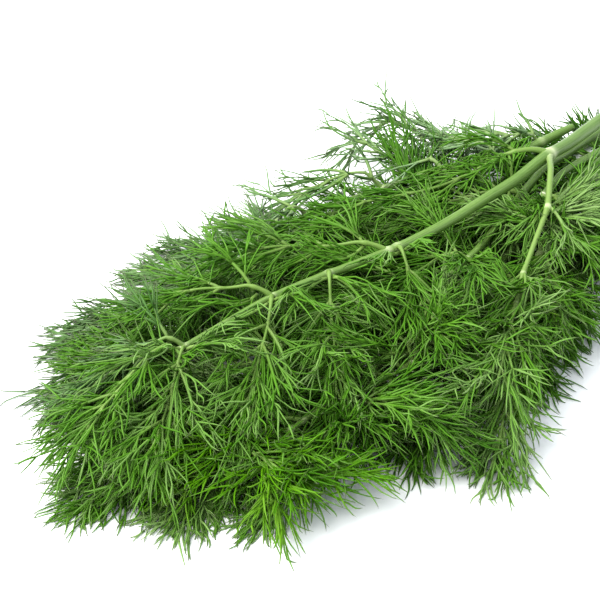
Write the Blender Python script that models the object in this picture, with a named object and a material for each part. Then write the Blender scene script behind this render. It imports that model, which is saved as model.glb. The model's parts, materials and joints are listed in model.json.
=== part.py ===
# A bunch of cut dill lying on a flat surface: nine sprigs, each a stem with its leaves.
# Plans are in millimetres seen from above: +X runs to the cut stem ends, -X to the leaf tips,
# +Y to the back and -Y to the front. Heights come from how the pieces pile up on each other.
import math
from collections import namedtuple

import bpy
import numpy as np

MM = 0.001

STEM_SIDES = 8
STEM_STATIONS = 17
STEM_SAG = 0.12          # how far a stem may dip below the straight line between two neighbours
CUT_CHAMFER = 0.5        # the cut end narrows by this much

LEAF_STATIONS = 19
LEAF_THICK = 1.7         # over the midrib, where the threads of a leaf lie closest
LEAF_EDGE = 0.6
LEAF_SAG = 0.9
LEAF_DROOP = 0.55        # fall of a free leaf's tip, as a share of its length
LEAF_LOBE = 0.24         # the outline swells and narrows by this share, once for each pair of side leaves
LEAF_FOOT = 1.1          # half the width of a leaf's own stalk, where it meets the stem
LEAF_STALK = 0.12        # the bare stalk, as a share of the leaf's length
LEAF_TIP_THIN = 0.6      # a leaf's two ends are this much of its full thickness
BLADE_BASEWARD = 0.9     # under 1 moves the widest place towards the stem
BLADE_FULL = 0.8         # under 1 makes the outline fuller than a plain sine
FALL_CURVE = 1.3         # a free leaf falls more and more steeply towards its tip

GAP = 0.3                # air between pieces that lie on each other
CELL = 1.25              # grid of the height map of the heap
MAP_HALF = 260.0
FLAT_UNDER = 0.9         # a leaf that could come this close to the surface lies flat on it
SETTLE_ROUNDS = 400      # passes over a piece until no place of it kinks
CURVE_STEPS = 24         # points read from the route between two of its corners

LEAF_GREENS = {
    "mid": (0.075, 0.26, 0.028),
    "blue": (0.070, 0.23, 0.085),
    "yellow": (0.13, 0.37, 0.018),
}
STEM_GREEN = (0.26, 0.45, 0.10)

# A leaf: the x where it leaves the stem, its tip's x and y, how far it bows to the back, its width,
# for a leaf that stands up from the heap how far its tip rises, and a green of its own if it has one.
Leaf = namedtuple("Leaf", "leave_x tip_x tip_y bow width rise green", defaults=[None, None])

# Each sprig, from the lowest to the highest. "route" is the stem from its cut end to its last leaf:
# x, y and the height it springs to if nothing lifts it more.
SPRIGS = {
    "low_back": {
        "diameter": 4.6,
        "tip_diameter": 1.8,
        "green": "blue",
        "route": [(233, 13, 2.3), (160, 17, 2.3), (90, 24, 2.3), (20, 32, 2.3), (-40, 32, 2.3)],
        "leaves": [
            Leaf(142, 112, 62, 6, 22, rise=14),
            Leaf(164, 114, 34, 4, 28),
            Leaf(118, 98, 78, 4, 32),
            Leaf(56, 20, 78, 5, 38),
            Leaf(22, -24, 66, 5, 36),
            Leaf(-8, -70, 54, 5, 32),
            Leaf(-40, -90, 35, 3, 32),
        ],
    },
    "low_middle": {
        "diameter": 4.4,
        "tip_diameter": 1.8,
        "green": "mid",
        "route": [(237, 5, 2.2), (160, 1, 2.2), (90, -4, 2.2), (20, -8, 2.2), (-45, -12, 2.2)],
        "leaves": [
            Leaf(176, 116, 4, 3, 32),
            Leaf(118, 62, -42, -4, 36),
            Leaf(84, 10, 16, 5, 42),
            Leaf(-6, -86, 22, 5, 38),
            Leaf(-22, -94, -38, -3, 38),
            Leaf(-45, -110, -12, 1, 36),
        ],
    },
    "low_front": {
        "diameter": 4.6,
        "tip_diameter": 1.8,
        "green": "mid",
        "route": [(230, -4, 2.3), (160, -15, 2.3), (90, -30, 2.3), (20, -40, 2.3), (-25, -45, 2.3)],
        "leaves": [
            Leaf(178, 124, -26, -3, 32),
            Leaf(142, 96, -46, -4, 32),
            Leaf(108, 56, -64, -6, 34),
            Leaf(76, 28, -71, -6, 34),
            Leaf(34, -22, -66, -6, 36),
            Leaf(6, -56, -22, 3, 38),
            Leaf(-25, -70, -54, -1, 36),
        ],
    },
    "left": {
        "diameter": 4.4,
        "tip_diameter": 2.0,
        "green": "yellow",
        "route": [(239, 0, 6), (150, -10, 12), (60, -30, 14), (0, -38, 14), (-42, -42, 13)],
        "leaves": [
            Leaf(66, 12, -71, -8, 38),
            Leaf(-36, -90, -28, 4, 34),
            Leaf(-38, -60, -75, -3, 34),
            Leaf(-42, -76, -50, -3, 34),
        ],
    },
    "front": {
        "diameter": 6.0,
        "tip_diameter": 3.0,
        "green": "mid",
        "route": [(236, -12, 2.5), (180, -19, 14), (134, -23, 24), (108, -28, 23), (78, -40, 18), (46, -56, 12)],
        "leaves": [
            Leaf(112, 66, -10, 5, 38),
            Leaf(104, 84, -55, -4, 32),
            Leaf(80, 46, -72, -4, 36),
            Leaf(64, 6, -44, 5, 40),
            Leaf(46, -8, -94, -3, 36),
        ],
    },
    "under": {
        "diameter": 4.2,
        "tip_diameter": 1.9,
        "green": "mid",
        "route": [(234, 9, 6), (180, 6, 13), (120, -8, 19), (60, -26, 20), (33, -31, 20), (6, -48, 15)],
        "leaves": [
            Leaf(96, 44, 34, 6, 44),
            Leaf(52, -10, 5, 5, 42),
            Leaf(34, 12, -69, -4, 40),
            Leaf(6, -34, -70, -3, 42),
        ],
    },
    "thin": {
        "diameter": 4.0,
        "tip_diameter": 2.4,
        "green": "mid",
        "route": [(235, -6, 6), (190, -10, 17), (145, -14, 26), (121, -16, 27), (100, -22, 25)],
        "leaves": [
            Leaf(124, 110, -46, -4, 34),
            Leaf(110, 84, -52, -4, 36),
            Leaf(100, 62, -36, 2, 36),
        ],
    },
    "short": {
        "diameter": 3.6,
        "tip_diameter": 1.9,
        "green": "blue",
        "route": [(149, 4, 27), (122, 9, 24), (95, 20, 21), (70, 34, 16), (44, 46, 12)],
        "leaves": [
            Leaf(132, 114, 32, 3, 24),
            Leaf(92, 80, 62, 3, 28),
            Leaf(114, 100, 46, 3, 24),
            Leaf(72, 30, 66, 5, 36),
            Leaf(44, -12, 54, 3, 36),
        ],
    },
    "top": {
        "diameter": 6.4,
        "tip_diameter": 1.9,
        "green": "mid",
        "route": [
            (232, 4, 10),
            (200, 4, 20),
            (162, -2, 29),
            (133, -9, 31),
            (112, -13, 32),
            (92, -16, 33),
            (70, -17, 33),
            (46, -16, 33),
            (26, -13, 33),
            (4, -8, 33),
            (-17, -3, 31),
            (-52, 0, 27),
        ],
        "leaves": [
            Leaf(112, -24, 38, 13, 38),
            Leaf(112, -12, -95, 0, 38),
            Leaf(27, -38, 34, 7, 42),
            Leaf(4, -36, -56, -3, 44),
            Leaf(30, 4, -66, -6, 40),
            Leaf(-16, -68, 36, 6, 40),
            Leaf(-16, -72, -42, -6, 44),
            Leaf(-50, -92, 22, 4, 36, green="blue"),
            Leaf(-50, -94, -30, -4, 38),
            Leaf(-52, -103, -7, 0, 34),
        ],
    },
}


def clear_scene():
    for item in list(bpy.data.objects):
        bpy.data.objects.remove(item, do_unlink=True)


def smooth_route(points, count):
    """A Catmull-Rom curve through the points, read at count even steps of its length."""
    pts = np.array(points, dtype=float)
    pts = np.vstack([2 * pts[0] - pts[1], pts, 2 * pts[-1] - pts[-2]])
    pieces = []
    for i in range(len(pts) - 3):
        a, b, c, d = pts[i:i + 4]
        t = np.linspace(0.0, 1.0, CURVE_STEPS, endpoint=False)[:, None]
        pieces.append(0.5 * (2 * b + (c - a) * t + (2 * a - 5 * b + 4 * c - d) * t ** 2
                             + (3 * b - a - 3 * c + d) * t ** 3))
    pieces.append(pts[-2:-1])
    fine = np.vstack(pieces)
    steps = np.linalg.norm(np.diff(fine, axis=0), axis=1)
    along = np.concatenate([[0.0], np.cumsum(steps)])
    wanted = np.linspace(0.0, along[-1], count)
    return np.stack([np.interp(wanted, along, fine[:, k]) for k in range(pts.shape[1])], axis=1)


class Heap:
    """How high the pieces laid so far reach, on a grid seen from above."""

    def __init__(self):
        side = int(2 * MAP_HALF / CELL)
        self.top = np.zeros((side, side))

    def cells(self, xy):
        return np.floor((xy + MAP_HALF) / CELL).astype(int)

    def highest(self, xy):
        cell = self.cells(xy)
        return self.top[cell[:, 0], cell[:, 1]].max()

    def lay(self, xyz):
        """Add points of a top face; each also counts for the cells around it."""
        cell = self.cells(xyz[:, :2])
        for dx in (-1, 0, 1):
            for dy in (-1, 0, 1):
                np.maximum.at(self.top, (cell[:, 0] + dx, cell[:, 1] + dy), xyz[:, 2])


def strip_points(centre, side, half, first, last):
    """Points spread over a strip of the plan between two stations."""
    length = np.linalg.norm(centre[last] - centre[first])
    lengthwise = np.linspace(0.0, 1.0, 2 + int(length / CELL))
    across = np.linspace(-1.0, 1.0, 3 + int(2 * max(half[first], half[last]) / CELL))
    t, u = [grid.ravel()[:, None] for grid in np.meshgrid(lengthwise, across)]
    middle = centre[first] * (1 - t) + centre[last] * t
    edge = side[first] * half[first] * (1 - t) + side[last] * half[last] * t
    return middle + edge * u, t.ravel(), np.abs(u.ravel())


def supports(heap, centre, side, half):
    """For each station, the highest thing under the strips on both sides of it."""
    count = len(centre)
    need = np.zeros(count)
    for i in range(count - 1):
        under = heap.highest(strip_points(centre, side, half, i, i + 1)[0])
        need[i] = max(need[i], under)
        need[i + 1] = max(need[i + 1], under)
    return need


def stiffen(height, sag):
    """Lift each station that dips more than sag below its neighbours; a piece can't kink."""
    for _ in range(SETTLE_ROUNDS):
        middle = 0.5 * (height[:-2] + height[2:]) - sag
        height[1:-1] = np.maximum(height[1:-1], middle)
    return height


def sideways(centre):
    run = np.gradient(centre, axis=0)
    run /= np.linalg.norm(run, axis=1)[:, None]
    return np.stack([-run[:, 1], run[:, 0]], axis=1)


def shade(name, colour, roughness):
    material = bpy.data.materials.new(name)
    material.use_nodes = True
    shader = material.node_tree.nodes["Principled BSDF"]
    shader.inputs["Base Color"].default_value = (*colour, 1.0)
    shader.inputs["Roughness"].default_value = roughness
    shader.inputs["Metallic"].default_value = 0.0
    material.diffuse_color = (*colour, 1.0)
    return material


def loft(name, rings, material, parent):
    """A closed solid from rings of points in millimetres; its object stands where the piece starts."""
    rings = np.array(rings)
    count, sides = rings.shape[:2]
    start = rings[0].mean(axis=0)
    points = (rings.reshape(-1, 3) - start) * MM
    faces = [tuple(range(sides - 1, -1, -1)), tuple(range((count - 1) * sides, count * sides))]
    for i in range(count - 1):
        for j in range(sides):
            k = (j + 1) % sides
            faces.append((i * sides + j, i * sides + k, (i + 1) * sides + k, (i + 1) * sides + j))
    mesh = bpy.data.meshes.new(name)
    mesh.from_pydata(points.tolist(), [], faces)
    mesh.materials.append(material)
    mesh.update()
    piece = bpy.data.objects.new(name, mesh)
    piece.location = (start * MM).tolist()
    piece.parent = parent
    bpy.context.collection.objects.link(piece)
    return piece


def lay_stem(name, sprig, heap, parent):
    """A round tapering stem, from its cut end to where its last leaf starts."""
    route = smooth_route(sprig["route"], STEM_STATIONS)
    share = np.linspace(0.0, 1.0, STEM_STATIONS)
    radius = 0.5 * (sprig["diameter"] * (1.0 - share) + sprig["tip_diameter"] * share)
    centre = route[:, :2]
    side = sideways(centre)
    need = supports(heap, centre, side, radius) + radius + GAP
    on_surface = need < radius + 2 * GAP
    need[on_surface] = radius[on_surface]
    height = stiffen(np.maximum(need, route[:, 2]), STEM_SAG)
    rings = []
    for i in range(STEM_STATIONS):
        size = radius[i] - (CUT_CHAMFER if i == 0 else 0.0)
        turn = 2 * math.pi * (np.arange(STEM_SIDES) + 0.5) / STEM_SIDES
        flat = centre[i] + np.outer(size * np.cos(turn), side[i])
        rings.append(np.column_stack([flat, height[i] + size * np.sin(turn)]))
    loft(name, rings, shade(name, STEM_GREEN, 0.42), parent)
    for i in range(STEM_STATIONS - 1):
        spot, t, _ = strip_points(centre, side, radius, i, i + 1)
        top = (height[i] + radius[i]) * (1 - t) + (height[i + 1] + radius[i + 1]) * t
        heap.lay(np.column_stack([spot, top]))
    return centre, height, radius


def leaf_half_widths(width):
    """Narrow at the stem, widest before the middle, pointed, and swelling at each pair of side leaves."""
    t = np.linspace(0.0, 1.0, LEAF_STATIONS)
    blade = np.clip((t - LEAF_STALK) / (1.0 - LEAF_STALK), 0.0, 1.0)
    body = np.maximum(np.sin(math.pi * blade ** BLADE_BASEWARD), 0.0) ** BLADE_FULL
    lobe = 1.0 + LEAF_LOBE * np.where(np.arange(LEAF_STATIONS) % 2 == 0, 1.0, -1.0)
    half = 0.5 * width * body * lobe
    return np.maximum(half, LEAF_FOOT)


def lay_leaf(name, leaf, stem, green, heap, parent):
    """A flat feather-shaped leaf that starts on its stem and drapes over what lies under it."""
    centre, height, radius = stem
    foot_y = np.interp(-leaf.leave_x, -centre[:, 0], centre[:, 1])
    foot_z = np.interp(-leaf.leave_x, -centre[:, 0], height + radius)
    foot = np.array([leaf.leave_x, foot_y])
    tip = np.array([leaf.tip_x, leaf.tip_y], dtype=float)
    t = np.linspace(0.0, 1.0, LEAF_STATIONS)[:, None]
    bend = 0.5 * (foot + tip) + np.array([0.0, 2.0 * leaf.bow])
    path = foot * (1 - t) ** 2 + 2 * bend * t * (1 - t) + tip * t ** 2
    side = sideways(path)
    half = leaf_half_widths(leaf.width)
    length = np.linalg.norm(tip - foot)
    rise = -LEAF_DROOP * length if leaf.rise is None else leaf.rise
    natural = foot_z + rise * t.ravel() ** FALL_CURVE
    need = supports(heap, path, side, half) + GAP
    need[need < FLAT_UNDER] = 0.0
    under = stiffen(np.maximum(need, natural), LEAF_SAG)
    under[under < FLAT_UNDER] = 0.0
    under = np.maximum(under, need)
    rings = []
    for i in range(LEAF_STATIONS):
        out = side[i] * half[i]
        thick = LEAF_THICK if 0 < i < LEAF_STATIONS - 1 else LEAF_TIP_THIN * LEAF_THICK
        rings.append([
            (*(path[i] + out), under[i]),
            (*(path[i] + out), under[i] + LEAF_EDGE),
            (*path[i], under[i] + thick),
            (*(path[i] - out), under[i] + LEAF_EDGE),
            (*(path[i] - out), under[i]),
        ])
    loft(name, rings, shade(name, LEAF_GREENS[green], 0.5), parent)
    for i in range(LEAF_STATIONS - 1):
        spot, s, out = strip_points(path, side, half, i, i + 1)
        top = under[i] * (1 - s) + under[i + 1] * s + LEAF_THICK + (LEAF_EDGE - LEAF_THICK) * out
        heap.lay(np.column_stack([spot, top]))


def centre_on_origin(pieces):
    """Bring the middle of the bunch's box to the origin, with its underside at z = 0."""
    bpy.context.view_layer.update()
    corners = np.array([piece.matrix_world @ vertex.co for piece in pieces for vertex in piece.data.vertices])
    low = corners.min(axis=0)
    high = corners.max(axis=0)
    return (-0.5 * (low[0] + high[0]), -0.5 * (low[1] + high[1]), -low[2])


def main():
    clear_scene()
    bunch = bpy.data.objects.new("Dill_Bunch", None)
    bpy.context.collection.objects.link(bunch)
    heap = Heap()
    for name, sprig in SPRIGS.items():
        stem = lay_stem(name + "_stem", sprig, heap, bunch)
        for number, leaf in enumerate(sprig["leaves"], start=1):
            lay_leaf(f"{name}_leaf_{number}", leaf, stem, leaf.green or sprig["green"], heap, bunch)
    bunch.location = centre_on_origin([item for item in bpy.data.objects if item.type == "MESH"])


main()
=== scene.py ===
# Cut dill, a loose bunch lying on a table
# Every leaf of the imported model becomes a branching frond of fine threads,
# and every stem a ribbed stalk with pale joints.
import json
import math
import bpy
import numpy as np
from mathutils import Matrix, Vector


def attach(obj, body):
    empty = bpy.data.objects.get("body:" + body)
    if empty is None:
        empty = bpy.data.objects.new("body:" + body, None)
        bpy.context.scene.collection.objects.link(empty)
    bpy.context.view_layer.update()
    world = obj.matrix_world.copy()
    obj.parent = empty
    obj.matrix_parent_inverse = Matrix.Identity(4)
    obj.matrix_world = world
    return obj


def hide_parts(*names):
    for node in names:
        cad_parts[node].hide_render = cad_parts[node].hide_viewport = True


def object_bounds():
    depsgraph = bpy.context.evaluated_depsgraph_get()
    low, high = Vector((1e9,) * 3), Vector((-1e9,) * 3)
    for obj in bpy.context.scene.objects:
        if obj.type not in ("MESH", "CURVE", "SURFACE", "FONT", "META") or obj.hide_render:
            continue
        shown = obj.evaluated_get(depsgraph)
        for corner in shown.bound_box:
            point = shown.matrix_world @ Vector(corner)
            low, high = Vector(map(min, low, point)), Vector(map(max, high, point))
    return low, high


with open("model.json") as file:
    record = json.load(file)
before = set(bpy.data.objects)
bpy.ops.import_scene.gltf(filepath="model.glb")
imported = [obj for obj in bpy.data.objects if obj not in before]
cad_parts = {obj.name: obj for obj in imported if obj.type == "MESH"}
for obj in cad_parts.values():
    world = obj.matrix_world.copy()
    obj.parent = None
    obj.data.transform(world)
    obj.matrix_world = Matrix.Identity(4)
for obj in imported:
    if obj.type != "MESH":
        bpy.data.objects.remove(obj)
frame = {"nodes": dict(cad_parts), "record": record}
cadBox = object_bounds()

mm = 0.001
up = np.array([0.0, 0.0, 1.0])


def hexColour(text):
    # sRGB hex to the linear values that shaders work in
    channels = [int(text[i:i + 2], 16) / 255 for i in (1, 3, 5)]
    linear = [c / 12.92 if c <= 0.04045 else ((c + 0.055) / 1.055) ** 2.4 for c in channels]
    return (*linear, 1.0)


def addNode(tree, kind, settings=None, links=None):
    # settings: property or input -> value; links: input -> (other node, its output)
    node = tree.nodes.new(kind)
    for name, value in (settings or {}).items():
        if isinstance(name, str) and hasattr(node, name):
            setattr(node, name, value)
        else:
            node.inputs[name].default_value = value
    for name, (source, output) in (links or {}).items():
        tree.links.new(source.outputs[output], node.inputs[name])
    return node


def unit(v):
    return v / np.maximum(np.linalg.norm(v, axis=-1, keepdims=True), 1e-9)


def nodePoints(name):
    mesh = frame["nodes"][name].data
    co = np.zeros(len(mesh.vertices) * 3)
    mesh.vertices.foreach_get("co", co)
    return co.reshape(-1, 3)


# Camera: low over the leafy end, looking along the bunch to its stems

cameraSetup = {
    "azimuth": -42.0,
    "elevation": 38.0,
    "distance": 0.485,
    "lens": 85.0,
    "target": (-0.0646, 0.0098, 0.020),
}


def placeCamera(setup):
    a = math.radians(setup["azimuth"])
    e = math.radians(setup["elevation"])
    back = Vector((math.sin(a) * math.cos(e), -math.cos(a) * math.cos(e), math.sin(e)))
    data = bpy.data.cameras.new("camera")
    data.lens = setup["lens"]
    data.clip_start = 0.01
    camera = bpy.data.objects.new("camera", data)
    camera.location = Vector(setup["target"]) + back * setup["distance"]
    camera.rotation_euler = back.to_track_quat("Z", "Y").to_euler()
    bpy.context.scene.collection.objects.link(camera)
    bpy.context.scene.camera = camera


placeCamera(cameraSetup)
print("camera placed")


# Table and lights: a bright sky all round, a soft key from the back left and a weak fill

studio = {
    "tableSize": 6.0,
    "tableColour": "#f4f5f7",
    "tableRoughness": 0.8,
    "skyColour": "#eef3fb",
    "skyStrength": 0.95,
    "keyPower": 42.0,
    "keySize": 1.5,
    "keyFrom": (-0.70, 0.45, 1.15),
    "keyColour": "#fffdf6",
    "fillPower": 2.0,
    "fillSize": 1.2,
    "fillFrom": (0.3, -1.1, 0.9),
    "fillColour": "#f3f8ff",
}


def areaLight(name, power, size, spot, colour):
    data = bpy.data.lights.new(name, "AREA")
    data.energy = power
    data.size = size
    data.color = hexColour(colour)[:3]
    lamp = bpy.data.objects.new(name, data)
    lamp.location = spot
    lamp.rotation_euler = Vector(spot).to_track_quat("Z", "Y").to_euler()
    bpy.context.scene.collection.objects.link(lamp)


def setStudio(s):
    half = s["tableSize"] / 2
    corners = [(-half, -half, 0), (half, -half, 0), (half, half, 0), (-half, half, 0)]
    mesh = bpy.data.meshes.new("table")
    mesh.from_pydata(corners, [], [(0, 1, 2, 3)])
    table = bpy.data.objects.new("table", mesh)
    bpy.context.scene.collection.objects.link(table)
    paint = bpy.data.materials.new("paleTable")
    paint.use_nodes = True
    shader = paint.node_tree.nodes["Principled BSDF"]
    shader.inputs["Base Color"].default_value = hexColour(s["tableColour"])
    shader.inputs["Roughness"].default_value = s["tableRoughness"]
    mesh.materials.append(paint)
    world = bpy.data.worlds.new("studio")
    world.use_nodes = True
    sky = world.node_tree.nodes["Background"]
    sky.inputs["Color"].default_value = hexColour(s["skyColour"])
    sky.inputs["Strength"].default_value = s["skyStrength"]
    bpy.context.scene.world = world
    areaLight("key", s["keyPower"], s["keySize"], s["keyFrom"], s["keyColour"])
    areaLight("fill", s["fillPower"], s["fillSize"], s["fillFrom"], s["fillColour"])
    bpy.context.scene.view_settings.view_transform = "Standard"
    bpy.context.scene.view_settings.look = "Medium High Contrast"


setStudio(studio)
print("table and lights set")


# Leaf tissue. Its map has a column for each tone across, and runs from joint to thread end upwards,
# so threads that share a column share a shade.

toneColumns = 32
columnShare = 0.6            # a strand's strip takes up this much of its column
mapEdge = 0.001              # and nothing lies nearer the map's lower and upper edge than this
mapFoot = 0.004              # a strand's closed foot is this high on the map, so that it has some area

# dryFrom is where along a thread its end begins to dry
leafGreens = {
    "leaf_mid": {"dark": "#2a5a0a", "middle": "#537f24", "light": "#88a06a", "dryFrom": 0.86},
    "leaf_bluish": {"dark": "#2e5820", "middle": "#5a7c44", "light": "#90a884", "dryFrom": 0.76},
    "leaf_yellowish": {"dark": "#326806", "middle": "#54840e", "light": "#809e46", "dryFrom": 0.88},
}

threadFinish = {
    "stalkRoughness": 0.34,
    "threadRoughness": 0.44,
    "ior": 1.40,
    "gloss": 0.28,               # the bloom lets little of the clear highlight through
    "joint": "#c3cda4",
    "jointSpan": (0.02, 0.07),   # it fades between these heights on the map
    "stalk": "#82965a",
    "stalkSpan": (0.12, 0.50),
    "stalkShare": 0.6,           # and covers this much of the leaf's green
    "dryTip": "#584f4c",
    "dryShare": 0.8,
    "dullSpan": (0.1, 0.6),      # the stalk's sheen turns to the threads' between these heights
    "groovesAcross": 3,          # fine grooves run along every thread
    "grooveDepth": 0.02 * mm,
}


def leafTissue(slot, greens, finish):
    # Living dill leaf: a thin wax bloom over wet cells, which gives a soft, slightly milky highlight
    material = bpy.data.materials.new(slot + "Tissue")
    material.use_nodes = True
    tree = material.node_tree
    shader = tree.nodes["Principled BSDF"]
    shader.inputs["IOR"].default_value = finish["ior"]
    shader.inputs["Specular IOR Level"].default_value = finish["gloss"]
    place = addNode(tree, "ShaderNodeUVMap", {"uv_map": "OFBake"})
    split = addNode(tree, "ShaderNodeSeparateXYZ", links={0: (place, 0)})
    dull = addNode(tree, "ShaderNodeMapRange", {
        1: finish["dullSpan"][0], 2: finish["dullSpan"][1],
        3: finish["stalkRoughness"], 4: finish["threadRoughness"],
    }, {0: (split, 1)})
    tree.links.new(dull.outputs[0], shader.inputs["Roughness"])
    turns = toneColumns / columnShare * 2 * math.pi * finish["groovesAcross"]
    across = addNode(tree, "ShaderNodeMath", {"operation": "MULTIPLY", 1: turns}, {0: (split, 0)})
    groove = addNode(tree, "ShaderNodeMath", {"operation": "SINE"}, {0: (across, 0)})
    dent = addNode(tree, "ShaderNodeBump", {"Strength": 0.5, "Distance": finish["grooveDepth"]},
                   {"Height": (groove, 0)})
    tree.links.new(dent.outputs[0], shader.inputs["Normal"])
    tone = addNode(tree, "ShaderNodeValToRGB", links={0: (split, 0)})
    stops = tone.color_ramp.elements
    stops[0].color = hexColour(greens["dark"])
    stops[1].color = hexColour(greens["light"])
    stops.new(0.5).color = hexColour(greens["middle"])

    def along(before, colour, span, fromShare, toShare):
        # lays a colour over what comes before it, fading in or out along the thread
        fade = addNode(tree, "ShaderNodeMapRange", {
            1: span[0], 2: span[1], 3: fromShare, 4: toShare}, {0: (split, 1)})
        return addNode(tree, "ShaderNodeMix", {"data_type": "RGBA", 7: hexColour(colour)},
                       {0: (fade, 0), 6: (before, 0 if before is tone else 2)})

    # branches are paler than threads, joints are almost white, and thread ends dry to a grey violet
    stalk = along(tone, finish["stalk"], finish["stalkSpan"], finish["stalkShare"], 0.0)
    joint = along(stalk, finish["joint"], finish["jointSpan"], 1.0, 0.0)
    tip = along(joint, finish["dryTip"], (greens["dryFrom"], 1.0), 0.0, finish["dryShare"])
    tree.links.new(tip.outputs[2], shader.inputs["Base Color"])
    return material


tissues = {slot: leafTissue(slot, greens, threadFinish) for slot, greens in leafGreens.items()}


stemFinish = {
    "smooth": 0.30,              # roughness where the wax is whole
    "rubbed": 0.48,              # and where it is rubbed off
    "ior": 1.50,
    "groove": "#4a6c20",
    "ridge": "#7a9454",
    "joint": "#c6cfa6",
    "pith": "#d9e2bf",
    "pithCore": "#eef1e0",
    "ribs": 14,
    "streakWidth": 0.5 * mm,     # fine streaks of colour that run along the stalk
    "streakLength": 14 * mm,
    "streakDepth": 0.05 * mm,
    "ribShare": 0.30,            # how much the ribs show in the colour, beside the streaks
    "mottleSize": 9 * mm,
    "mottleShare": 0.8,
    "ridgeSpan": (0.6, 1.6),     # ribs, streaks and mottle together, from all groove to all ridge
    "rubbedSpan": (0.35, 0.65),  # mottle, from whole wax to rubbed
    "pithCell": 0.35 * mm,
    "pithWet": 0.45,
    "pithDry": 0.70,
    "pithDent": 0.2,             # as a share of a cell
}


def stemSkin(finish):
    # Dill stalk: a smooth waxed skin over fine ribs, streaked along its length, with whitish joints
    material = bpy.data.materials.new("stalkSkin")
    material.use_nodes = True
    tree = material.node_tree
    shader = tree.nodes["Principled BSDF"]
    shader.inputs["IOR"].default_value = finish["ior"]
    rib = addNode(tree, "ShaderNodeAttribute", {"attribute_name": "rib"})
    pale = addNode(tree, "ShaderNodeAttribute", {"attribute_name": "pale"})
    grain = addNode(tree, "ShaderNodeAttribute", {"attribute_name": "grain"})
    streak = addNode(tree, "ShaderNodeTexNoise", {"Scale": 1.0, "Detail": 3.0}, {0: (grain, 1)})
    mottle = addNode(tree, "ShaderNodeTexNoise", {"Scale": 1 / finish["mottleSize"], "Detail": 2.0})
    streaked = addNode(tree, "ShaderNodeMath", {"operation": "MULTIPLY_ADD", 1: finish["ribShare"]},
                       {0: (rib, 2), 2: (streak, 0)})
    blend = addNode(tree, "ShaderNodeMath", {"operation": "MULTIPLY_ADD", 1: finish["mottleShare"]},
                    {0: (mottle, 0), 2: (streaked, 0)})
    share = addNode(tree, "ShaderNodeMapRange", {
        1: finish["ridgeSpan"][0], 2: finish["ridgeSpan"][1]}, {0: (blend, 0)})
    skin = addNode(tree, "ShaderNodeMix", {
        "data_type": "RGBA", 6: hexColour(finish["groove"]), 7: hexColour(finish["ridge"]),
    }, {0: (share, 0)})
    ringed = addNode(tree, "ShaderNodeMix", {"data_type": "RGBA", 7: hexColour(finish["joint"])},
                     {0: (pale, 2), 6: (skin, 2)})
    tree.links.new(ringed.outputs[2], shader.inputs["Base Color"])
    worn = addNode(tree, "ShaderNodeMapRange", {
        1: finish["rubbedSpan"][0], 2: finish["rubbedSpan"][1],
        3: finish["smooth"], 4: finish["rubbed"],
    }, {0: (mottle, 0)})
    tree.links.new(worn.outputs[0], shader.inputs["Roughness"])
    dent = addNode(tree, "ShaderNodeBump", {"Strength": 0.6, "Distance": finish["streakDepth"]},
                   {"Height": (streak, 0)})
    tree.links.new(dent.outputs[0], shader.inputs["Normal"])
    return material


def cutPith(finish):
    # Freshly cut stalk end: wet white pith of fine cells, dull beside the skin
    material = bpy.data.materials.new("cutPith")
    material.use_nodes = True
    tree = material.node_tree
    shader = tree.nodes["Principled BSDF"]
    cells = addNode(tree, "ShaderNodeTexVoronoi", {"Scale": 1 / finish["pithCell"]})
    tint = addNode(tree, "ShaderNodeMix", {
        "data_type": "RGBA", 6: hexColour(finish["pithCore"]), 7: hexColour(finish["pith"]),
    }, {0: (cells, 0)})
    dull = addNode(tree, "ShaderNodeMapRange", {
        3: finish["pithWet"], 4: finish["pithDry"]}, {0: (cells, 0)})
    dent = addNode(tree, "ShaderNodeBump", {
        "Strength": 0.6, "Distance": finish["pithDent"] * finish["pithCell"]}, {"Height": (cells, 0)})
    tree.links.new(tint.outputs[2], shader.inputs["Base Color"])
    tree.links.new(dull.outputs[0], shader.inputs["Roughness"])
    tree.links.new(dent.outputs[0], shader.inputs["Normal"])
    return material


skin = stemSkin(stemFinish)
pith = cutPith(stemFinish)
print("materials mixed")


# Stems

stemShape = {
    "sides": 36,
    "rings": 150,
    "ribDepth": 0.008,      # as a share of the radius
    "jointSwell": 0.20,     # the joint is this much thicker
    "jointLength": 0.80,    # as a share of the stem's radius there
    "paleFoot": 1.5 * mm,   # the joint of a leaf stalk this thick is white, a thinner one's is greener
    "paleFall": 1.5,        # by this power of its thickness
    "modelSides": 8,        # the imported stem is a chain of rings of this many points
    "modelGap": 3.5 * mm,   # and its rings stand further apart than this
    "pithShare": 0.72,      # the cut end's pith reaches this far out
    "cutRise": 0.15 * mm,
    "cutDish": 0.5 * mm,    # and shrinks back this far in the middle
}

# where a stem lies on its map: the skin is a sheet, and each end a disc above it
stemMap = {
    "sheetFoot": (0.01, 0.02),
    "sheetSize": (0.98, 0.80),
    "leafyDisc": (0.25, 0.91),
    "cutDisc": (0.75, 0.91),
    "discRadius": 0.07,
    "pithRadius": 0.05,
}


def stemStations(name, shape):
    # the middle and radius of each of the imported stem's rings, which follow each other along x
    points = nodePoints(name)
    points = points[np.argsort(points[:, 0])]
    breaks = np.where(np.diff(points[:, 0]) > shape["modelGap"])[0] + 1
    rings = np.split(points, breaks)
    low = np.array([ring.min(axis=0) for ring in rings])
    high = np.array([ring.max(axis=0) for ring in rings])
    return (low + high) / 2, (high[:, 2] - low[:, 2]) / 2 / math.cos(math.pi / shape["modelSides"])


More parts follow.
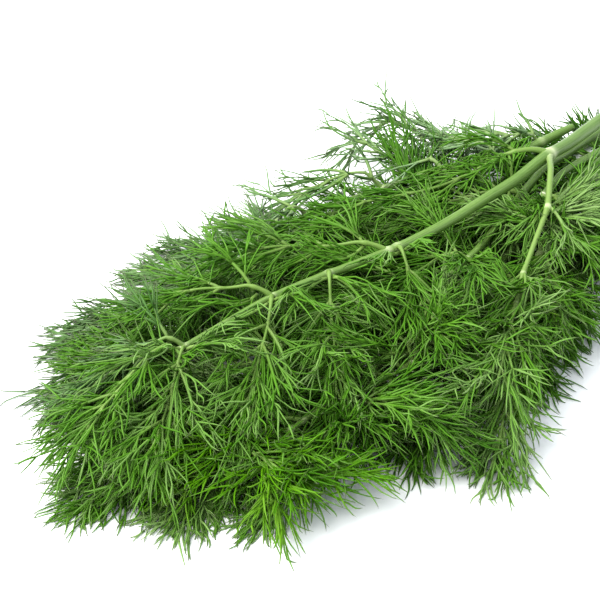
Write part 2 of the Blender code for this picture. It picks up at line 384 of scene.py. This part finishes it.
def smoothRow(values, at, wanted):
    # a cubic through the stations with slopes from their neighbours
    slope = np.gradient(values, at, axis=0)
    i = np.clip(np.searchsorted(at, wanted) - 1, 0, len(at) - 2)
    h = at[i + 1] - at[i]
    t = (wanted - at[i]) / h
    if values.ndim > 1:
        h, t = h[:, None], t[:, None]
    ends = values[i] * (2 * t**3 - 3 * t**2 + 1) + values[i + 1] * (3 * t**2 - 2 * t**3)
    return ends + slope[i] * h * (t**3 - 2 * t**2 + t) + slope[i + 1] * h * (t**3 - t**2)


def runAlong(line):
    return np.concatenate([[0], np.cumsum(np.linalg.norm(np.diff(line, axis=0), axis=1))])


def stemPath(name, shape):
    # from the leafy end to the cut end
    middle, radius = stemStations(name, shape)
    along = runAlong(middle)
    wanted = np.linspace(0, along[-1], shape["rings"])
    return smoothRow(middle, along, wanted), np.interp(wanted, along, radius), wanted


def makeObject(name, verts, faces, materials, maps=None, attributes=None, faceMaterial=None):
    # faces: an array of triangles; maps: one map place for each corner of each triangle
    mesh = bpy.data.meshes.new(name)
    mesh.vertices.add(len(verts))
    mesh.vertices.foreach_set("co", np.ascontiguousarray(verts, dtype=np.float32).ravel())
    mesh.loops.add(len(faces) * 3)
    mesh.loops.foreach_set("vertex_index", faces.astype(np.int32).ravel())
    mesh.polygons.add(len(faces))
    mesh.polygons.foreach_set("loop_start", np.arange(0, len(faces) * 3, 3, dtype=np.int32))
    mesh.polygons.foreach_set("use_smooth", np.ones(len(faces), dtype=bool))
    for material in materials:
        mesh.materials.append(material)
    if faceMaterial is not None:
        mesh.polygons.foreach_set("material_index", faceMaterial.astype(np.int32))
    mesh.update(calc_edges=True)
    mesh.validate()
    layer = mesh.uv_layers.new(name="OFBake")
    layer.data.foreach_set("uv", np.ascontiguousarray(maps, dtype=np.float32).ravel())
    for key, values in (attributes or {}).items():
        if values.ndim == 1:
            mesh.attributes.new(key, "FLOAT", "POINT").data.foreach_set("value", values.astype(np.float32))
        else:
            data = mesh.attributes.new(key, "FLOAT_VECTOR", "POINT").data
            data.foreach_set("vector", values.astype(np.float32).ravel())
    piece = bpy.data.objects.new(name, mesh)
    bpy.context.scene.collection.objects.link(piece)
    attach(piece, "root")
    return piece


def ringTriangles(rings, sides):
    i, j = np.meshgrid(np.arange(rings - 1), np.arange(sides), indexing="ij")
    k = (j + 1) % sides
    a, b, c, d = i * sides + j, i * sides + k, (i + 1) * sides + k, (i + 1) * sides + j
    return np.stack([np.stack([a, b, c], -1), np.stack([a, c, d], -1)], 2).reshape(-1, 3), i, j


def stemGrain(radius, along, turn, finish):
    # where the streaks are read: a cylinder stretched so that one streak is one unit wide and long
    across = radius.mean() / finish["streakWidth"]
    lengthwise = np.broadcast_to(along[:, None] / finish["streakLength"], (len(along), len(turn)))
    ring = np.broadcast_to(turn, lengthwise.shape)
    return np.stack([across * np.cos(ring), across * np.sin(ring), lengthwise], -1).reshape(-1, 3)


def stemJoints(path, radius, feet, shape):
    # how swollen and how pale each ring is, for the leaves that stand near it
    swell, pale = np.zeros(len(path)), np.zeros(len(path))
    for foot, footRadius in feet:
        away = np.linalg.norm(path - foot, axis=1)
        near = np.exp(-(away / (shape["jointLength"] * radius[np.argmin(away)])) ** 2)
        swell = np.maximum(swell, near)
        pale = np.maximum(pale, near * min((footRadius / shape["paleFoot"]) ** shape["paleFall"], 1))
    return swell, pale


def makeStem(sprig, feet, shape, finish):
    name = sprig + "_stem"
    path, radius, along = stemPath(name, shape)
    sides, rings = shape["sides"], shape["rings"]
    tangent = unit(np.gradient(path, axis=0))
    side = unit(np.cross(tangent, up))
    lift = np.cross(side, tangent)
    swell, pale = stemJoints(path, radius, feet, shape)
    turn = 2 * math.pi * np.arange(sides) / sides
    circle = np.stack([np.cos(turn), np.sin(turn)], -1)
    rib = 0.5 + 0.5 * np.cos(finish["ribs"] * turn)
    size = radius[:, None] * (1 + shape["jointSwell"] * swell[:, None])
    size = size * (1 + shape["ribDepth"] * (rib[None, :] - 0.5) * 2)
    spoke = np.cos(turn)[None, :, None] * side[:, None] + np.sin(turn)[None, :, None] * lift[:, None]
    verts = (path[:, None] + size[..., None] * spoke).reshape(-1, 3)
    faces, i, j = ringTriangles(rings, sides)
    corners = [np.stack([j + right, i + above], -1) for right, above in ((0, 0), (1, 0), (1, 1), (0, 1))]
    sheet = np.stack(corners, 2) / np.array([sides, rings])
    sheet = sheet * np.array(stemMap["sheetSize"]) + np.array(stemMap["sheetFoot"])
    allVerts, allFaces, allMaps = [verts], [faces], [sheet[:, :, [0, 1, 2, 0, 2, 3]].reshape(-1, 3, 2)]
    n = np.arange(sides)
    m = (n + 1) % sides
    # both ends: the first is under a leaf's foot, the last is the cut, dished where the pith shrinks
    for ring, way, disc in ((0, -1, "leafyDisc"), (rings - 1, 1, "cutDisc")):
        first = ring * sides
        base = sum(len(part) for part in allVerts)
        rim = verts[first:first + sides]
        outward = tangent[ring] * way
        inner = path[ring] + (rim - path[ring]) * shape["pithShare"] + outward * shape["cutRise"]
        allVerts.append(np.vstack([inner, path[ring] - outward * shape["cutDish"]]))
        wall = np.stack([first + n, base + n, base + m, first + n, base + m, first + m], -1).reshape(-1, 3)
        cap = np.stack([base + n, np.full(sides, base + sides), base + m], -1)
        hubMap = np.array(stemMap[disc])
        outerMap = hubMap + stemMap["discRadius"] * circle
        innerMap = hubMap + stemMap["pithRadius"] * circle
        wallMap = np.stack(
            [outerMap[n], innerMap[n], innerMap[m], outerMap[n], innerMap[m], outerMap[m]], 1)
        capMap = np.stack([innerMap[n], np.tile(hubMap, (sides, 1)), innerMap[m]], 1)
        facing = slice(None, None, -way)
        allFaces.append(np.vstack([wall, cap])[:, facing])
        allMaps.append(np.concatenate([wallMap.reshape(-1, 3, 2), capMap])[:, facing])
    ends = sum(len(part) for part in allVerts[1:])
    attributes = {
        "rib": np.concatenate([np.tile(rib, rings), np.ones(ends)]),
        "pale": np.concatenate([np.repeat(pale, sides), np.zeros(ends)]),
        "grain": np.vstack([stemGrain(radius, along, turn, finish), np.zeros((ends, 3))]),
    }
    allFaces = np.vstack(allFaces)
    isPith = np.arange(len(allFaces)) >= len(faces)
    piece = makeObject(sprig + "_stalk", np.vstack(allVerts), allFaces, [skin, pith],
                       np.concatenate(allMaps), attributes, isPith)
    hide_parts(name)


# Leaves

frond = {
    "lastPair": 0.73,            # the last pair of branches is this far up the midrib
    "pairStep": 0.16,            # from one pair to the next, as a share of the midrib still ahead
    "pairLeast": 0.065,          # and no less than this share of the whole midrib
    "pairStray": 0.006,          # a branch stands this far off its pair's place
    "branchShare": 0.55,         # a branch's length, as a share of the midrib still ahead of it
    "branchMost": 0.50,          # and no longer than this share of the leaf's width
    "branchFoot": 2 * mm,        # and this much more
    "openAtTip": 23.0,           # angle between the last branches and the midrib, in degrees
    "footRadius": 1.3,           # the first branches are this many times as thick as branchKind says
    "radiusFall": 0.5,           # and the last ones thinner than the first by this much of it
    "leafToneStray": 0.10,
}

# Angles are in degrees. roll turns a strand up out of its parent's plane, curl bends it back to its
# parent's direction, droop lets it sink, and stray makes each one bend a little differently.
# map is how far along the leaf's map a strand runs, and steps is where its rings stand.
branchKind = {
    "radius": 0.50 * mm,
    "lengths": (0.80, 1.10),
    "openStray": 6,
    "roll": 10,
    "rollStray": 20,
    "curl": 0.60,
    "droop": 0.12,
    "stray": 0.10,
    "toneStray": 0.08,
    "map": (0.055, 0.80),
    "sides": 6,
    "steps": (0, 0.12, 0.25, 0.4, 0.55, 0.7, 0.88),
    "endShare": 0.6,
}

twigKind = {
    "first": 2.6 * mm,           # from a branch's foot to its first twigs
    "spacing": 6.4 * mm,
    "share": 0.54,               # a twig's length, as a share of the branch still ahead of it
    "least": 7.6 * mm,           # and this much more
    "radius": 0.41 * mm,
    "lengths": (0.65, 1.25),
    "open": 25.0,
    "openStray": 9,
    "roll": 12,
    "rollStray": 35,
    "curl": 0.45,
    "droop": 0.15,
    "stray": 0.26,
    "toneStray": 0.07,
    "map": (0.30, 0.97),
    "sides": 4,
    "steps": (0, 0.2, 0.4, 0.6, 0.8, 0.94),
    "endShare": 0.4,
}

threadKind = {
    "first": 2.4 * mm,
    "spacing": 6.4 * mm,
    "share": 0.55,
    "least": 6.5 * mm,
    "radius": 0.36 * mm,
    "lengths": (0.65, 1.3),
    "open": 19.0,
    "openStray": 7,
    "roll": 0,
    "rollStray": 45,
    "curl": 0.35,
    "droop": 0.15,
    "stray": 0.34,
    "toneStray": 0.05,
    "map": (0.45, 1.0),
    "sides": 4,
    "steps": (0, 0.22, 0.44, 0.66, 0.88),
    "endShare": 0.3,
}

strandHabit = {
    "curlRange": (0.3, 1.7),     # every strand takes between this little and this much of its kind's curl
    "swayShare": 1.2,            # and sways sideways by this much of its kind's stray
    "spotStray": 0.18,           # strands stray off their even spacing by this share of it
    "firstSpot": 0.03,           # and stand between these shares of their parent's length
    "lastSpot": 0.96,
    "outerThinning": 0.5,        # the share of strands missing at the far end of a parent
}

# how strands give way to the stems and midribs that lie on them
pressing = {
    "depth": 0.5,                # their tops are this share of a stem's radius below its middle
    "slope": 1.3,                # and rise this steeply beside it
    "lean": 0.7,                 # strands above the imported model's top lose this share of the excess
    "tableGap": 0.2 * mm,
}

# Bottom of the heap to its top. bare is the share of a leaf's stalk below its first pair of branches,
# open is that pair's angle, fullness thins out or fills up the strands, tone shifts a sprig to darker
# or paler columns, and lift is how far its strands stand up out of the leaf's plane.
sprigs = {
    "low_back": {"bare": 0.05, "open": 75.0, "fullness": 0.55, "tone": 0.58, "lift": 0.5},
    "low_middle": {"bare": 0.04, "open": 85.0, "fullness": 3.6, "tone": 0.40, "lift": 0.8},
    "low_front": {"bare": 0.05, "open": 75.0, "fullness": 1.8, "tone": 0.45, "lift": 0.8},
    "left": {"bare": 0.12, "open": 42.0, "fullness": 1.0, "tone": 0.48, "lift": 1.0},
    "front": {"bare": 0.10, "open": 50.0, "fullness": 1.0, "tone": 0.52, "lift": 1.0},
    "under": {"bare": 0.05, "open": 80.0, "fullness": 2.2, "tone": 0.50, "lift": 1.0},
    "thin": {"bare": 0.10, "open": 50.0, "fullness": 1.0, "tone": 0.55, "lift": 1.0},
    "short": {"bare": 0.10, "open": 55.0, "fullness": 0.5, "tone": 0.68, "lift": 0.4},
    "top": {"bare": 0.09, "open": 50.0, "fullness": 1.0, "tone": 0.56, "lift": 1.0},
}

# single leaves that grew paler or darker than the rest of their sprig
leafTones = {
    "thin_leaf_3": 0.14,
    "front_leaf_3": 0.16,
    "front_leaf_4": 0.12,
    "top_leaf_2": 0.10,
    "top_leaf_5": -0.12,
    "under_leaf_3": -0.05,
    "under_leaf_4": -0.08,
    "low_middle_leaf_5": 0.15,
    "low_middle_leaf_6": 0.20,
    "low_front_leaf_3": 0.10,
}

# leaves hidden in the heap, with denser and longer branches that fill it out
wideLeaves = {
    "low_back_leaf_5": 1.7,
    "low_back_leaf_6": 1.2,
    "low_middle_leaf_2": 2.0,
    "low_middle_leaf_3": 2.6,
    "low_middle_leaf_4": 1.9,
    "low_middle_leaf_5": 1.1,
    "low_front_leaf_6": 1.2,
    "under_leaf_1": 1.4,
    "under_leaf_2": 1.6,
    "under_leaf_3": 1.5,
}

# the large leaf at the top sprig's lowest joint has a long thick stalk with two pale joints of its own
longStalk = {
    "leaf": "top_leaf_2",
    "joints": (0.25, 0.44),
    "radius": 1.25 * mm,
    "taper": 0.7,                # it has this much of its radius left at its second joint
    "thinFrom": 0.65,            # and is as thin as any midrib from here on
    "elbow": (2.8 * mm, -2.5 * mm, 0.0),     # how far the first joint stands out of the leaf's own line
    "jointReach": 1.6,           # its joints are this many times as long as other midribs'
    "jointPale": 0.9,
    "mapFoot": 0.05,
}

midrib = {
    "lineStations": 60,          # from foot to tip
    "rings": 48,                 # of its mesh, and more about its joints
    "sides": 8,
    "radius": 0.40 * mm,
    "footShare": 0.0060,         # thicker at its foot by this share of its length
    "footMost": 0.85 * mm,       # but by no more than this
    "footFall": 5,               # and it thins out by this power
    "footSwell": 0.5,            # and swollen where it leaves the stem
    "footSwellLength": 2.5 * mm,
    "footPaleLength": 2.0 * mm,
    "footFade": 0.12,            # this share of it comes down to its stem
    "seat": 0.6 * mm,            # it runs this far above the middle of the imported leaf
    "end": 0.77,                 # it ends here, and branches carry the leaf on to its tip
    "point": 2 * mm,
    "plateSpread": 1.1,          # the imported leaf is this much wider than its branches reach
    "jointLength": 1.1 * mm,
    "jointSteps": (-1.6, -0.8, 0, 0.8, 1.6),     # rings about a joint, in joint lengths
    "jointSwell": 0.35,
    "jointReach": 1.0,
    "jointPale": 0.6,
    "mapFoot": 0.12,             # heights on the map, from its stalk's green to its threads'
    "mapRise": 0.22,
    "mapJoint": 0.02,
    "mapStep": 0.0004,           # between rings at least, so that no triangle is flat on the map
    "mapFootPoint": 0.01,        # and the points of both ends stand this far past their rings
    "mapEndPoint": 0.05,
    "bareStations": 18,          # strands of other leaves pass under this many stations from the foot
    "longBareStations": 32,
}


def leafLine(name, stemPoints, rib):
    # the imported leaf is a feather-shaped plate: find its midrib from foot to tip, and its width
    points = nodePoints(name)
    plan = points[:, :2]
    gaps = np.linalg.norm(plan[:, None] - plan[None], axis=2)
    a, b = np.unravel_index(np.argmax(gaps), gaps.shape)
    nearA = np.linalg.norm(stemPoints[:, :2] - plan[a], axis=1).min()
    nearB = np.linalg.norm(stemPoints[:, :2] - plan[b], axis=1).min()
    foot, tip = (plan[a], plan[b]) if nearA < nearB else (plan[b], plan[a])
    chord = tip - foot
    length = np.linalg.norm(chord)
    ahead = chord / length
    aside = np.array([-ahead[1], ahead[0]])
    s = np.clip((plan - foot) @ ahead / length, 0, 1)
    w = (plan - foot) @ aside
    bow = (w * s * (1 - s)).sum() / ((s * (1 - s)) ** 2).sum()
    half = np.abs(w - bow * s * (1 - s)).max()
    height = np.polynomial.Polynomial.fit(s, points[:, 2], 6)
    t = np.linspace(0, 1, rib["lineStations"])
    plane = foot + np.outer(t * length, ahead) + np.outer(bow * t * (1 - t), aside)
    line = np.column_stack([plane, height(t) + rib["seat"]])
    # the foot comes down to the middle of its stem
    nearest = stemPoints[np.argmin(np.linalg.norm(stemPoints[:, :2] - foot, axis=1))]
    fade = np.clip(1 - t / rib["footFade"], 0, 1)[:, None]
    line = line + (nearest - line[0]) * fade
    run = runAlong(line)
    share = run / run[-1]
    extra = min(rib["footShare"] * run[-1], rib["footMost"])
    radius = rib["radius"] + extra * (1 - share) ** rib["footFall"]
    if name == longStalk["leaf"]:
        first, second = longStalk["joints"]
        thick = longStalk["radius"]
        radius = np.interp(share, (0, second, longStalk["thinFrom"]),
                           (thick, longStalk["taper"] * thick, rib["radius"]))
        bulge = np.interp(share, (0, first, second), (0, 1, 0))[:, None]
        line = line + bulge * np.array(longStalk["elbow"])
    return {"name": name, "line": line, "share": share, "length": run[-1], "radius": radius,
            "width": 2 * half / rib["plateSpread"]}


def pressUnder(centre, size, guards):
    # strands pass beneath the stems and midribs that lie on them
    for spots, radius in guards:
        gap = np.linalg.norm(centre[..., None, :2] - spots[:, :2], axis=-1)
        nearest = np.argmin(gap, axis=-1)
        clear = np.take_along_axis(gap, nearest[..., None], axis=-1)[..., 0]
        wide = radius[nearest]
        beside = np.maximum(clear - wide - size, 0)
        top = spots[nearest, 2] - pressing["depth"] * wide - size + pressing["slope"] * beside
        centre[..., 2] = np.minimum(centre[..., 2], top)
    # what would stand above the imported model's top leans over instead
    over = np.maximum(centre[..., 2] - cadBox[1][2], 0)
    centre[..., 2] = np.maximum(centre[..., 2] - pressing["lean"] * over, size + pressing["tableGap"])


def pointOn(strands, t):
    t = t[:, None]
    return strands["root"] + strands["length"][:, None] * (
        strands["way"] * t + 0.5 * strands["bend"] * t**2 + strands["sway"] * t**2 * (t - 1))


def wayOn(strands, t):
    t = t[:, None]
    return unit(strands["way"] + strands["bend"] * t + strands["sway"] * (3 * t**2 - 2 * t))


def sprout(root, ahead, face, length, angle, sideSign, roll, kind, rng):
    # strands leaving a parent: angle is from the parent's direction, roll is about it
    side = unit(np.cross(ahead, face)) * sideSign[:, None]
    out = np.cos(roll)[:, None] * side + np.sin(roll)[:, None] * face
    way = unit(np.cos(angle)[:, None] * ahead + np.sin(angle)[:, None] * out)
    curl = kind["curl"] * rng.uniform(*strandHabit["curlRange"], len(angle))
    bend = curl[:, None] * (ahead - way) - kind["droop"] * up
    bend = bend + rng.normal(0, kind["stray"], way.shape)
    sway = rng.normal(0, strandHabit["swayShare"] * kind["stray"], way.shape)
    newFace = unit(face - (face * way).sum(axis=1, keepdims=True) * way)
    return {"root": root, "way": way, "bend": bend, "sway": sway, "length": length, "face": newFace}


def pickParents(parents, kind, fullness, rng):
    # pairs of strands along each parent, one to either side, as many as it has room for
    most = int(parents["length"].max() / kind["spacing"]) + 1
    slot = np.tile(np.repeat(np.arange(most), 2), len(parents["length"]))
    index = np.repeat(np.arange(len(parents["length"])), most * 2)
    spot = kind["first"] + kind["spacing"] * (slot + rng.normal(0, strandHabit["spotStray"], len(index)))
    t = spot / parents["length"][index]
    sideSign = np.where(np.arange(len(index)) % 2 == 0, 1.0, -1.0)
    chance = fullness * (1 - strandHabit["outerThinning"] * t)
    keep = (t < strandHabit["lastSpot"]) & (rng.uniform(0, 1, len(index)) < chance)
    picked = {key: value[index[keep]] for key, value in parents.items()}
    return picked, np.maximum(t[keep], strandHabit["firstSpot"]), sideSign[keep]


def growBranches(leaf, joints, sprig, wide, leafTone, t, shape, kind, rng):
    # one pair at each joint of the midrib, more open and longer at its foot than at its tip
    count = len(t)
    share = leaf["share"]
    tangents = unit(np.gradient(leaf["line"], axis=0))
    spot = np.stack([np.interp(t, share, leaf["line"][:, k]) for k in range(3)], -1)
    way = unit(np.stack([np.interp(t, share, tangents[:, k]) for k in range(3)], -1))
    face = unit(up - (way @ up)[:, None] * way)
    x = np.repeat((joints - joints[0]) / (joints[-1] - joints[0]), 2)
    ahead = (1 - t) * leaf["length"]
    most = shape["branchMost"] * leaf["width"] * (1 + (wide - 1) * (1 - t))
    reach = np.minimum(shape["branchShare"] * (0.5 + 0.5 * wide) * ahead, most) + shape["branchFoot"]
    opened = sprig["open"] + (shape["openAtTip"] - sprig["open"]) * np.sqrt(x)
    length = reach * rng.uniform(*kind["lengths"], count)
    angle = np.radians(opened + rng.normal(0, kind["openStray"], count))
    roll = np.radians(rng.normal(kind["roll"], kind["rollStray"], count) * sprig["lift"])
    branches = sprout(spot, way, face, length, angle, np.tile([1.0, -1.0], len(joints)), roll, kind, rng)
    branches["radius"] = kind["radius"] * (shape["footRadius"] - shape["radiusFall"] * x)
    branches["tone"] = leafTone + rng.normal(0, kind["toneStray"], count)
    return branches


def growAlong(parents, kind, fullness, lift, rng):
    # finer strands all along their parents
    parents, t, sideSign = pickParents(parents, kind, fullness, rng)
    count = len(t)
    ahead = (1 - t) * parents["length"]
    length = (ahead * kind["share"] + kind["least"]) * rng.uniform(*kind["lengths"], count)
    angle = np.radians(kind["open"] + rng.normal(0, kind["openStray"], count))
    roll = np.radians(rng.normal(kind["roll"], kind["rollStray"], count) * lift)
    strands = sprout(
        pointOn(parents, t), wayOn(parents, t), parents["face"], length, angle, sideSign, roll, kind, rng)
    strands["radius"] = np.full(count, kind["radius"])
    strands["tone"] = parents["tone"] + rng.normal(0, kind["toneStray"], count)
    return strands


def strandMesh(strands, kind, guards):
    # closed tapering tubes ending in a point
    sides, steps = kind["sides"], kind["steps"]
    count = len(strands["length"])
    t = np.append(steps, 1.0)
    rings = len(steps)
    at = t[:, None]
    way, bend, sway = (strands[key][:, None] for key in ("way", "bend", "sway"))
    centre = strands["root"][:, None] + strands["length"][:, None, None] * (
        way * at + 0.5 * bend * at**2 + sway * at**2 * (at - 1))
    size = strands["radius"][:, None] * (1 - (1 - kind["endShare"]) * t**2)
    pressUnder(centre, size, guards)
    tangent = unit(np.gradient(centre, axis=1))
    side = unit(np.cross(tangent, strands["face"][:, None]))
    lift = np.cross(side, tangent)
    turn = 2 * math.pi * np.arange(sides) / sides
    spoke = np.cos(turn)[:, None] * side[:, :rings, None] + np.sin(turn)[:, None] * lift[:, :rings, None]
    ring = centre[:, :rings, None] + size[:, :rings, None, None] * spoke
    verts = np.concatenate([ring.reshape(count, rings * sides, 3), centre[:, rings:]], axis=1)
    wall, i, j = ringTriangles(rings, sides)
    n = np.arange(sides)
    m = (n + 1) % sides
    last = (rings - 1) * sides
    point = np.stack([last + n, last + m, np.full(sides, rings * sides)], -1)
    fan = np.stack([0 * n[2:], n[2:], n[1:-1]], -1)
    one = np.vstack([wall, point, fan])
    faces = (one[None] + (np.arange(count) * (rings * sides + 1))[:, None, None]).reshape(-1, 3)
    # on the map each strand has a narrow strip inside its tone's column
    cornerU = np.concatenate([
        np.stack([j, j + 1, j + 1, j, j + 1, j], -1).ravel(),
        np.stack([n, n + 1, n + 0.5], -1).ravel(),
        fan.ravel()]) / sides
    cornerV = np.concatenate([
        np.stack([i, i, i + 1, i, i + 1, i + 1], -1).ravel(),
        np.tile([rings - 1, rings - 1, rings], sides),
        np.zeros(fan.size, int)])
    left, wide = toneStrip(strands["tone"])
    u = left[:, None] + wide * cornerU
    low, high = kind["map"]
    v = np.tile((low + (high - low) * t)[cornerV], (count, 1))
    v[:, -fan.size::3] += mapFoot
    maps = np.stack([u, np.clip(v, mapEdge, 1 - mapEdge)], -1).reshape(-1, 3, 2)
    return verts.reshape(-1, 3), faces, maps


def toneStrip(tone):
    column = np.clip((tone * toneColumns).astype(int), 0, toneColumns - 1)
    return (column + (1 - columnShare) / 2) / toneColumns, columnShare / toneColumns


def midribMesh(leaf, joints, tone, rib):
    # one tube through the midrib, a little swollen and pale at its joints
    sides = rib["sides"]
    look = longStalk if leaf["name"] == longStalk["leaf"] else rib
    reach = rib["end"] * leaf["length"]
    places = joints * leaf["length"]
    near = (places + np.array(rib["jointSteps"])[:, None] * rib["jointLength"]).ravel()
    along = np.unique(np.concatenate([np.linspace(0, reach, rib["rings"]), np.clip(near, 0, reach)]))
    t = along / leaf["length"]
    line = np.stack([np.interp(t, leaf["share"], leaf["line"][:, k]) for k in range(3)], -1)
    knot = np.exp(-((along[:, None] - places) / (rib["jointLength"] * look["jointReach"])) ** 2).max(axis=1)
    swell = 1 + rib["jointSwell"] * knot + rib["footSwell"] * np.exp(-along / rib["footSwellLength"])
    radius = np.interp(t, leaf["share"], leaf["radius"]) * swell
    tangent = unit(np.gradient(line, axis=0))
    side = unit(np.cross(tangent, up))
    lift = np.cross(side, tangent)
    turn = 2 * math.pi * np.arange(sides) / sides
    spoke = np.cos(turn)[:, None] * side[:, None] + np.sin(turn)[:, None] * lift[:, None]
    rings = len(t)
    verts = np.vstack([
        (line[:, None] + radius[:, None, None] * spoke).reshape(-1, 3),
        line[0] - tangent[0] * radius[0], line[-1] + tangent[-1] * rib["point"]])
    wall, i, j = ringTriangles(rings, sides)
    n = np.arange(sides)
    m = (n + 1) % sides
    last = (rings - 1) * sides
    foot = np.stack([m, n, np.full(sides, rings * sides)], -1)
    end = np.stack([last + n, last + m, np.full(sides, rings * sides + 1)], -1)
    left, wide = toneStrip(np.array([tone]))
    u = np.concatenate([
        np.stack([j, j + 1, j + 1, j, j + 1, j], -1).ravel(),
        np.stack([n + 1, n, n + 0.5], -1).ravel(),
        np.stack([n, n + 1, n + 0.5], -1).ravel()]) / sides
    pale = np.maximum(look["jointPale"] * knot, np.exp(-along / rib["footPaleLength"]))
    plain = look["mapFoot"] + rib["mapRise"] * t
    rowV = plain - (plain - rib["mapJoint"]) * pale
    rowV = rowV + rib["mapStep"] * np.arange(rings)
    v = np.concatenate([
        rowV[np.stack([i, i, i + 1, i, i + 1, i + 1], -1).ravel()],
        np.tile([rowV[0], rowV[0], rowV[0] - rib["mapFootPoint"]], sides),
        np.tile([rowV[-1], rowV[-1], rowV[-1] + rib["mapEndPoint"]], sides)])
    maps = np.stack([left[0] + wide * u, np.clip(v, mapEdge, 1 - mapEdge)], -1).reshape(-1, 3, 2)
    return verts, np.vstack([wall, foot, end]), maps


def joinMeshes(parts):
    starts = np.cumsum([0] + [len(verts) for verts, _, _ in parts])
    return (np.vstack([verts for verts, _, _ in parts]),
            np.vstack([faces + start for (_, faces, _), start in zip(parts, starts)]),
            np.concatenate([maps for _, _, maps in parts]))


def growLeaf(leaf, slot, sprig, seed, shape, guards):
    rng = np.random.default_rng(seed)
    name = leaf["name"]
    isLong = name == longStalk["leaf"]
    wide = wideLeaves.get(name, 1)
    fullness = sprig["fullness"] if wide == 1 else max(sprig["fullness"], wide)
    joints = list(longStalk["joints"]) if isLong else [sprig["bare"]]
    while joints[-1] < shape["lastPair"]:
        step = max((1 - joints[-1]) * shape["pairStep"], shape["pairLeast"])
        joints.append(joints[-1] + step / (1 + max(fullness - 1, 0) * (1 - joints[-1]) ** 2))
    joints = np.array(joints)
    t = np.repeat(joints, 2) + rng.normal(0, shape["pairStray"], 2 * len(joints))
    leafTone = sprig["tone"] + leafTones.get(name, 0) + rng.normal(0, shape["leafToneStray"])
    branches = growBranches(leaf, joints, sprig, wide, leafTone, t, shape, branchKind, rng)
    twigs = growAlong(branches, twigKind, fullness, sprig["lift"], rng)
    threads = growAlong(twigs, threadKind, 0.5 + 0.5 * fullness, 1, rng)
    verts, faces, maps = joinMeshes([
        midribMesh(leaf, joints, leafTone, midrib),
        strandMesh(branches, branchKind, guards),
        strandMesh(twigs, twigKind, guards),
        strandMesh(threads, threadKind, guards),
    ])
    piece = makeObject(name.replace("_leaf_", "_frond_"), verts, faces, [tissues[slot]], maps)
    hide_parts(name)
    return len(faces)


slots = {part["node"]: part["material_slot"] for part in frame["record"]["subparts"]}
stemLines = {sprig: stemPath(sprig + "_stem", stemShape) for sprig in sprigs}
leafLines = {}
for sprig in sprigs:
    names = sorted(name for name in frame["nodes"] if name.startswith(sprig + "_leaf_"))
    leafLines[sprig] = [leafLine(name, stemLines[sprig][0], midrib) for name in names]
triangles = 0
firstSeed = 1000                 # every leaf has its own, and every sprig has room for this many
seedsEach = 50
order = list(sprigs)
for s, sprig in enumerate(order):
    feet = [(leaf["line"][0], leaf["radius"][0]) for leaf in leafLines[sprig]]
    makeStem(sprig, feet, stemShape, stemFinish)
    above = [stemLines[other][:2] for other in order[s + 1:]] or [stemLines["top"][:2]]
    for k, leaf in enumerate(leafLines[sprig]):
        stalks = []
        for other in leafLines["top"]:
            bare = midrib["longBareStations" if other["name"] == longStalk["leaf"] else "bareStations"]
            if other is not leaf:
                stalks.append((other["line"][:bare], other["radius"][:bare]))
        guards = [(spots[::2], radius[::2]) for spots, radius in above + stalks]
        seed = firstSeed + seedsEach * s + k
        triangles += growLeaf(leaf, slots[leaf["name"]], sprigs[sprig], seed, frond, guards)
    print("grown", sprig, len(leafLines[sprig]), "leaves")
print("leaf triangles", triangles)
